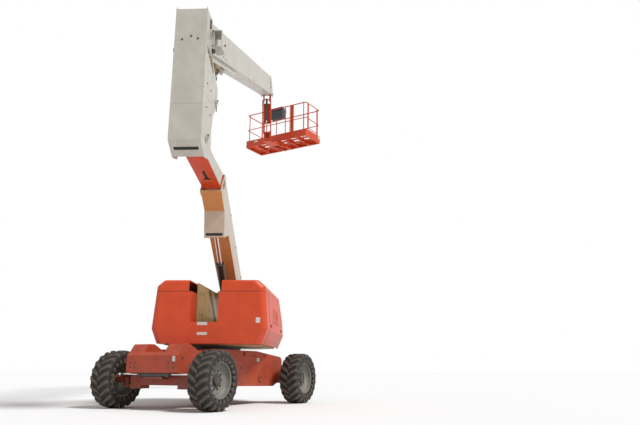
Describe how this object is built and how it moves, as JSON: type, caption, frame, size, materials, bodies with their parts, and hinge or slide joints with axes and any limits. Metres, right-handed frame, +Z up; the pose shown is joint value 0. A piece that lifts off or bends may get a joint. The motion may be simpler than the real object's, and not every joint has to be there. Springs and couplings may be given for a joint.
{
  "type": "articulating boom lift",
  "caption": "Self-propelled articulating boom lift with a telescoping tower, upright, telescoping main boom, jib and railed work platform on a four-wheel chassis.",
  "frame": {"origin": "on the ground under the slewing axis, midway between the axles and between the wheels", "axes": "+X along the chassis from the steered axle to the driven axle, +Y to the left, +Z up; the deck stands 23 degrees about +Z and the boom points along the deck's +X"},
  "size_m": [10.5633, 5.2591, 9.8083],
  "materials": {
    "tyre": "dusty",
    "rim": "satin",
    "rod_chrome": "polished",
    "black_steel": "satin",
    "pins": "machined",
    "hood": "gloss moulding",
    "power_pack": "plain block",
    "casting": "painted orange",
    "boom_cream": "gloss paint",
    "console": "moulded",
    "running_gear": "dark paint with dust",
    "orange_steel": "gloss paint"
  },
  "bodies": {
    "chassis": {"chassis_frame": "orange_steel", "tie_down_eyes": "orange_steel", "steer_axle": "running_gear", "steer_cylinder": "black_steel", "drive_axle": "running_gear", "swing_bearing": "running_gear"},
    "steer_rod": {"steer_rod": "rod_chrome"},
    "knuckle_left": {"knuckle_left": "running_gear"},
    "knuckle_right": {"knuckle_right": "running_gear"},
    "wheel_front_left": {"tyre_front_left": "tyre", "rim_front_left": "rim"},
    "wheel_front_right": {"tyre_front_right": "tyre", "rim_front_right": "rim"},
    "wheel_rear_left": {"tyre_rear_left": "tyre", "rim_rear_left": "rim"},
    "wheel_rear_right": {"tyre_rear_right": "tyre", "rim_rear_right": "rim"},
    "turntable": {"deck_frame": "orange_steel", "deck_pins": "pins", "counterweight": "casting", "engine_block": "power_pack"},
    "hood_left": {"hood_left": "hood"},
    "hood_right": {"hood_right": "hood"},
    "tower": {"tower_base": "boom_cream"},
    "tower_fly": {"tower_fly": "orange_steel"},
    "tower_cylinder_barrel": {"tower_cylinder_barrel": "black_steel"},
    "tower_cylinder_rod": {"tower_cylinder_rod": "rod_chrome"},
    "upright": {"upright": "boom_cream", "upright_pins": "pins"},
    "main_boom": {"main_base": "boom_cream"},
    "main_fly": {"main_fly": "boom_cream", "main_nose": "boom_cream"},
    "main_cylinder_barrel": {"main_cylinder_barrel": "black_steel"},
    "main_cylinder_rod": {"main_cylinder_rod": "rod_chrome"},
    "jib_knuckle": {"jib_knuckle": "orange_steel"},
    "jib_arm": {"jib_arm": "orange_steel"},
    "jib_link": {"jib_link": "orange_steel"},
    "jib_cylinder_barrel": {"jib_cylinder_barrel": "black_steel"},
    "jib_cylinder_rod": {"jib_cylinder_rod": "rod_chrome"},
    "cradle": {"platform_cradle": "orange_steel", "rotator": "orange_steel"},
    "platform": {"platform_bracket": "orange_steel", "platform_floor": "orange_steel", "platform_rails": "orange_steel", "control_console": "console"},
    "gate": {"platform_gate": "orange_steel"}
  },
  "joints": [
    {"name": "steer_left", "type": "hinge", "parent": "chassis", "child": "knuckle_left", "pos_m": [-1.525, 0.8, 0.5], "axis": [0, 0, 1], "range_deg": [-30, 30]},
    {"name": "steer_right", "type": "hinge", "parent": "chassis", "child": "knuckle_right", "pos_m": [-1.525, -0.8, 0.5], "axis": [0, 0, 1], "range_deg": [-30.01, 30.01]},
    {"name": "steer_rod_slide", "type": "slide", "parent": "chassis", "child": "steer_rod", "axis": [0, 1, 0], "range_m": [-0.1201, 0.1201]},
    {"name": "wheel_front_left_spin", "type": "hinge", "parent": "knuckle_left", "child": "wheel_front_left", "pos_m": [-1.525, 1.04, 0.5], "axis": [0, 1, 0], "continuous": true},
    {"name": "wheel_front_right_spin", "type": "hinge", "parent": "knuckle_right", "child": "wheel_front_right", "pos_m": [-1.525, -1.04, 0.5], "axis": [0, 1, 0], "continuous": true},
    {"name": "wheel_rear_left_spin", "type": "hinge", "parent": "chassis", "child": "wheel_rear_left", "pos_m": [1.525, 1.04, 0.5], "axis": [0, 1, 0], "continuous": true},
    {"name": "wheel_rear_right_spin", "type": "hinge", "parent": "chassis", "child": "wheel_rear_right", "pos_m": [1.525, -1.04, 0.5], "axis": [0, 1, 0], "continuous": true},
    {"name": "swing", "type": "hinge", "parent": "chassis", "child": "turntable", "pos_m": [0, 0, 1.1], "axis": [0, 0, 1], "range_deg": [-203, 157]},
    {"name": "hood_left_hinge", "type": "hinge", "parent": "turntable", "child": "hood_left", "pos_m": [-0.11722, 0.27615, 2.27], "axis": [0.9205, 0.3907, 0], "range_deg": [0, 55]},
    {"name": "hood_right_hinge", "type": "hinge", "parent": "turntable", "child": "hood_right", "pos_m": [0.11722, -0.27615, 2.27], "axis": [-0.9205, -0.3907, 0], "range_deg": [0, 55]},
    {"name": "tower_lift", "type": "hinge", "parent": "turntable", "child": "tower", "pos_m": [1.46636, 0.62243, 2.291], "axis": [-0.3907, 0.9205, 0], "range_deg": [-42.5, 35.5]},
    {"name": "tower_telescope", "type": "slide", "parent": "tower", "child": "tower_fly", "axis": [-0.74, -0.3141, 0.5948], "range_m": [0, 1.8]},
    {"name": "upright_level", "type": "hinge", "parent": "tower_fly", "child": "upright", "pos_m": [-2.57769, -1.09417, 4.39988], "axis": [-0.3907, 0.9205, 0], "range_deg": [-35.51, 42.51]},
    {"name": "tower_cylinder_pivot", "type": "hinge", "parent": "turntable", "child": "tower_cylinder_barrel", "pos_m": [1.26569, 0.53726, 1.493], "axis": [-0.3907, 0.9205, 0], "range_deg": [-37.2, 31.08]},
    {"name": "tower_cylinder_stroke", "type": "slide", "parent": "tower_cylinder_barrel", "child": "tower_cylinder_rod", "axis": [-0.6672, -0.2832, 0.6889], "range_m": [-0.5112, 0.42708]},
    {"name": "main_lift", "type": "hinge", "parent": "upright", "child": "main_boom", "pos_m": [-2.62372, -1.1137, 6.30788], "axis": [0.3907, -0.9205, 0], "range_deg": [-17.36, 47.64]},
    {"name": "main_telescope", "type": "slide", "parent": "main_boom", "child": "main_fly", "axis": [0.863, 0.3663, 0.3479], "range_m": [0, 5.2]},
    {"name": "main_cylinder_pivot", "type": "hinge", "parent": "upright", "child": "main_cylinder_barrel", "pos_m": [-2.04656, -0.86872, 5.29988], "axis": [0.3907, -0.9205, 0], "range_deg": [-13.05, 35.8]},
    {"name": "main_cylinder_stroke", "type": "slide", "parent": "main_cylinder_barrel", "child": "main_cylinder_rod", "axis": [0.6436, 0.2732, 0.715], "range_m": [-0.3202, 0.87785]},
    {"name": "jib_knuckle_level", "type": "hinge", "parent": "main_fly", "child": "jib_knuckle", "pos_m": [5.76567, 2.44738, 9.41061], "axis": [0.3907, -0.9205, 0], "range_deg": [-47.65, 17.37]},
    {"name": "jib_lift", "type": "hinge", "parent": "jib_knuckle", "child": "jib_arm", "pos_m": [5.76567, 2.44738, 9.41061], "axis": [0.3907, -0.9205, 0], "range_deg": [0, 130]},
    {"name": "jib_link_pivot", "type": "hinge", "parent": "jib_knuckle", "child": "jib_link", "pos_m": [5.70583, 2.42198, 9.16961], "axis": [0.3907, -0.9205, 0], "range_deg": [-0.01, 130.01]},
    {"name": "jib_cylinder_pivot", "type": "hinge", "parent": "jib_knuckle", "child": "jib_cylinder_barrel", "pos_m": [5.70583, 2.42198, 9.21561], "axis": [0.3907, -0.9205, 0], "range_deg": [-0.01, 132.1]},
    {"name": "jib_cylinder_stroke", "type": "slide", "parent": "jib_cylinder_barrel", "child": "jib_cylinder_rod", "axis": [0.0982, 0.0417, -0.9943], "range_m": [-0.0005, 0.36775]},
    {"name": "cradle_level", "type": "hinge", "parent": "jib_arm", "child": "cradle", "pos_m": [5.96547, 2.53219, 8.1796], "axis": [0.3907, -0.9205, 0], "range_deg": [-130.01, 0.01]},
    {"name": "platform_rotate", "type": "hinge", "parent": "cradle", "child": "platform", "pos_m": [6.11735, 2.59666, 8.1796], "axis": [0, 0, 1], "range_deg": [-62, 118]},
    {"name": "gate_hinge", "type": "hinge", "parent": "platform", "child": "gate", "pos_m": [6.58645, 1.36108, 8.1796], "axis": [0, 0, 1], "range_deg": [0, 85]}
  ],
  "couplings": [
    {"joint": "steer_right", "follows": "steer_left", "ratio": 1},
    {"joint": "steer_rod_slide", "follows": "steer_left", "m_per_rad": -0.22918},
    {"joint": "upright_level", "follows": "tower_lift", "ratio": -1},
    {"joint": "tower_cylinder_pivot", "follows": "tower_lift", "ratio": 0.87515},
    {"joint": "tower_cylinder_stroke", "follows": "tower_lift", "m_per_rad": 0.68849},
    {"joint": "main_cylinder_pivot", "follows": "main_lift", "ratio": 0.7513},
    {"joint": "main_cylinder_stroke", "follows": "main_lift", "m_per_rad": 1.0552},
    {"joint": "jib_knuckle_level", "follows": "main_lift", "ratio": -1},
    {"joint": "jib_link_pivot", "follows": "jib_lift", "ratio": 1},
    {"joint": "jib_cylinder_pivot", "follows": "jib_lift", "ratio": 1.0161},
    {"joint": "jib_cylinder_stroke", "follows": "jib_lift", "m_per_rad": 0.16186},
    {"joint": "cradle_level", "follows": "jib_lift", "ratio": -1}
  ]
}
